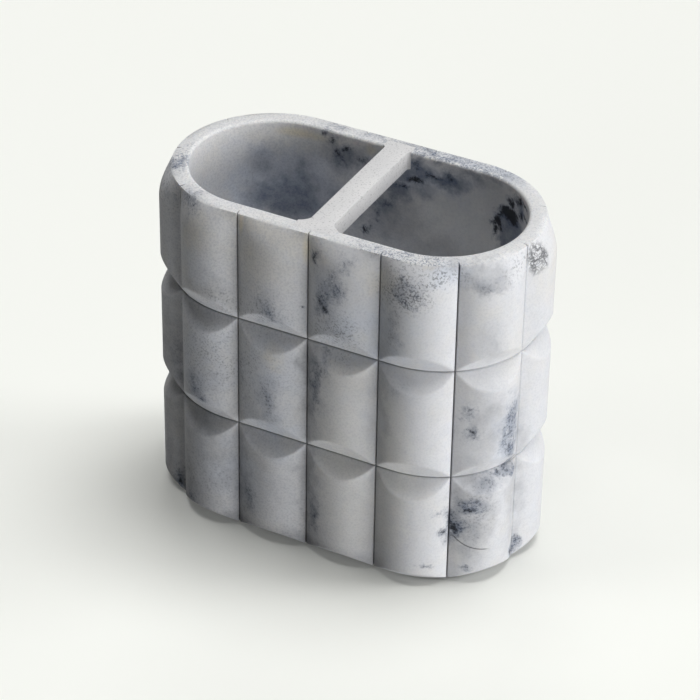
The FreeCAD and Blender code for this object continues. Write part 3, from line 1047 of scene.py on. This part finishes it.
class HOLDER_OT_cup(bpy.types.Operator):
    """Models the cast cup with its tile relief, cavity and pockets"""

    bl_idname = "holder.cup"
    bl_label = "Cast cup"

    def execute(self, context):
        sizes = context.scene.holder_sizes
        cup = cup_shell(sizes)
        for side, flare in ((-1, sizes.bar_front_flare), (1, sizes.bar_back_flare)):
            carve(cup, pocket(sizes, side, flare))
        for node in FOOT_PADS:
            carve(cup, recess(node))
        finish_piece(
            cup, veined_stone(context.scene.holder_looks, sizes), "veined_stone",
            CUP_SMOOTH_ANGLE, "cup_body")
        return {"FINISHED"}


class HOLDER_OT_bar(bpy.types.Operator):
    """Models the cross bar with its flared and let-in ends"""

    bl_idname = "holder.bar"
    bl_label = "Cross bar"

    def execute(self, context):
        bar = cross_bar(context.scene.holder_sizes)
        finish_piece(
            bar, plain_stone(context.scene.holder_looks), "plain_stone", BAR_SMOOTH_ANGLE,
            "divider_bar")
        return {"FINISHED"}


class HOLDER_OT_pads(bpy.types.Operator):
    """Finishes the non-slip pads under the base"""

    bl_idname = "holder.pads"
    bl_label = "Non-slip pads"

    def execute(self, context):
        material = pad_rubber(context.scene.holder_looks)
        for node in FOOT_PADS:
            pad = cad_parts[node]
            pad.data.materials.clear()
            pad.data.materials.append(material)
        return {"FINISHED"}


# The stage: floor, lights and camera

# Metres
FLOOR_SIZE = 6
# Each lamp: its name, azimuth, elevation and spread in degrees, and strength. The holder's
# own light comes from overhead, from the right side, low and high, and from a pale wall that
# stands low in front.
HOLDER_LAMPS = (
    ("overhead", 0, 90, 28, 0.43),
    ("high_right", 90, 70, 28, 0.32),
    ("high_right_back", 120, 70, 28, 1.14),
    ("high_left_back", -120, 70, 28, 0.66),
    ("right_side", 90, 10, 28, 1.57),
    ("right_front", 60, 10, 28, 0.21),
    ("low_right", 60, -30, 28, 0.94),
)
# The floor's light throws the short soft shadow to the left and the front
FLOOR_LAMPS = (
    ("floor_overhead", 0, 88, 28, 0.26),
    ("floor_back", 150, 74, 28, 1.25),
    ("floor_right", 120, 74, 28, 0.35),
    ("floor_left", -90, 74, 28, 0.58),
    ("floor_low_back", -150, 35, 24, 0.31),
    ("floor_low_right", 120, 18, 24, 1.24),
    ("floor_low_left", -60, 18, 24, 0.61),
    ("floor_low_front", 0, 18, 24, 0.20),
)


def floor_paint(looks):
    """The floor: pale to the camera and through gloss, and a quiet grey to bounced light."""
    paint = Paint("pale_floor")
    camera, glossy, passed = (paint.node("ShaderNodeLightPath", {}, {}, name) for name in (
        "Is Camera Ray", "Is Glossy Ray", "Is Transmission Ray"))
    seen = camera.at_least(glossy).at_least(passed)
    colour = paint.mix(seen, looks.bounce, looks.stage)
    shader = paint.node("ShaderNodeBsdfDiffuse", {}, {"Color": colour, "Roughness": 0.0})
    return paint.show(shader)


def group(name, members):
    """A collection that light linking refers to."""
    made = bpy.data.collections.new(name)
    for member in members:
        made.objects.link(member)
    return made


def add_lamp(name, azimuth, elevation, spread, strength, lit, blockers=None):
    """A distant soft box. Azimuth 0 is in front and 90 at the right; the spread is the angle
    that it fills; it lights one group of objects."""
    data = bpy.data.lights.new(name, "SUN")
    data.angle = math.radians(spread)
    data.energy = strength
    lamp = bpy.data.objects.new(name, data)
    bpy.context.scene.collection.objects.link(lamp)
    turn, rise = math.radians(azimuth), math.radians(elevation)
    away = Vector((
        math.sin(turn) * math.cos(rise), -math.cos(turn) * math.cos(rise), math.sin(rise)))
    lamp.location = away
    lamp.rotation_mode = "QUATERNION"
    lamp.rotation_quaternion = away.to_track_quat("Z", "Y")
    lamp.light_linking.receiver_collection = lit
    if blockers:
        lamp.light_linking.blocker_collection = blockers


def photo_camera():
    """The camera at the photograph's place: azimuth and elevation of the view, roll, distance
    and the small sideways steps that frame the holder as there."""
    azimuth, elevation, roll = (math.radians(angle) for angle in (26.972, 33.785, 0.996))
    distance, across, upward = 0.8084, -0.00113, -0.001635
    focal_pixels, picture_pixels = 2972.5, 700
    sensor = 36.0
    back = Vector((
        math.sin(azimuth) * math.cos(elevation), -math.cos(azimuth) * math.cos(elevation),
        math.sin(elevation)))
    right = Vector((math.cos(azimuth), math.sin(azimuth), 0))
    above = back.cross(right)
    turned_right = math.cos(roll) * right + math.sin(roll) * above
    turned_above = -math.sin(roll) * right + math.cos(roll) * above
    data = bpy.data.cameras.new("camera")
    data.sensor_width = sensor
    data.lens = sensor * focal_pixels / picture_pixels
    data.clip_start, data.clip_end = 0.01, 20
    camera = bpy.data.objects.new("camera", data)
    bpy.context.scene.collection.objects.link(camera)
    middle = Vector((0, 0, (CUP_LOW.z + CUP_HIGH.z) / 2))
    place = middle + back * distance + turned_right * across + turned_above * upward
    turn = Matrix((turned_right, turned_above, back)).transposed().to_4x4()
    camera.matrix_world = Matrix.Translation(place) @ turn
    bpy.context.scene.camera = camera


class HOLDER_OT_stage(bpy.types.Operator):
    """Sets the floor, the lights and the camera"""

    bl_idname = "holder.stage"
    bl_label = "Stage"

    def execute(self, context):
        scene = context.scene
        deselect_everything()
        bpy.ops.mesh.primitive_plane_add(size=FLOOR_SIZE, location=(0, 0, CAD_LOW.z))
        floor = bpy.context.active_object
        floor.name = "floor"
        bpy.ops.object.transform_apply(location=True, rotation=True, scale=True)
        floor.data.materials.append(floor_paint(scene.holder_looks))
        floor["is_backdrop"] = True
        holder, ground = group("holder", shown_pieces()), group("ground", [floor])
        for name, azimuth, elevation, spread, strength in HOLDER_LAMPS:
            add_lamp(name, azimuth, elevation, spread, strength, holder, holder)
        for name, azimuth, elevation, spread, strength in FLOOR_LAMPS:
            add_lamp(name, azimuth, elevation, spread, strength, ground)
        world = bpy.data.worlds.new("studio")
        world.use_nodes = True
        world.node_tree.nodes["Background"].inputs["Color"].default_value = (1, 1, 1, 1)
        world.node_tree.nodes["Background"].inputs["Strength"].default_value = 0.0
        scene.world = world
        scene.view_settings.view_transform = "Standard"
        photo_camera()
        return {"FINISHED"}


class HOLDER_PT_panel(bpy.types.Panel):
    """Lists the holder's pieces in the sidebar"""

    bl_idname = "HOLDER_PT_panel"
    bl_label = "Toothbrush holder"
    bl_space_type = "VIEW_3D"
    bl_region_type = "UI"
    bl_category = "Holder"

    def draw(self, context):
        column = self.layout.column()
        for operator in OPERATORS:
            column.operator(operator.bl_idname)
        for settings in (context.scene.holder_sizes, context.scene.holder_looks):
            for name in settings.__annotations__:
                column.prop(settings, name)


OPERATORS = (HOLDER_OT_cup, HOLDER_OT_bar, HOLDER_OT_pads, HOLDER_OT_stage)
CLASSES = (HolderSizes, HolderLooks, *OPERATORS, HOLDER_PT_panel)


def register():
    for one in CLASSES:
        bpy.utils.register_class(one)
    bpy.types.Scene.holder_sizes = PointerProperty(type=HolderSizes)
    bpy.types.Scene.holder_looks = PointerProperty(type=HolderLooks)


def unregister():
    del bpy.types.Scene.holder_looks
    del bpy.types.Scene.holder_sizes
    for one in reversed(CLASSES):
        bpy.utils.unregister_class(one)


def main():
    register()
    bpy.ops.holder.cup()
    bpy.ops.holder.bar()
    bpy.ops.holder.pads()
    bpy.ops.holder.stage()


if __name__ == "__main__":
    main()
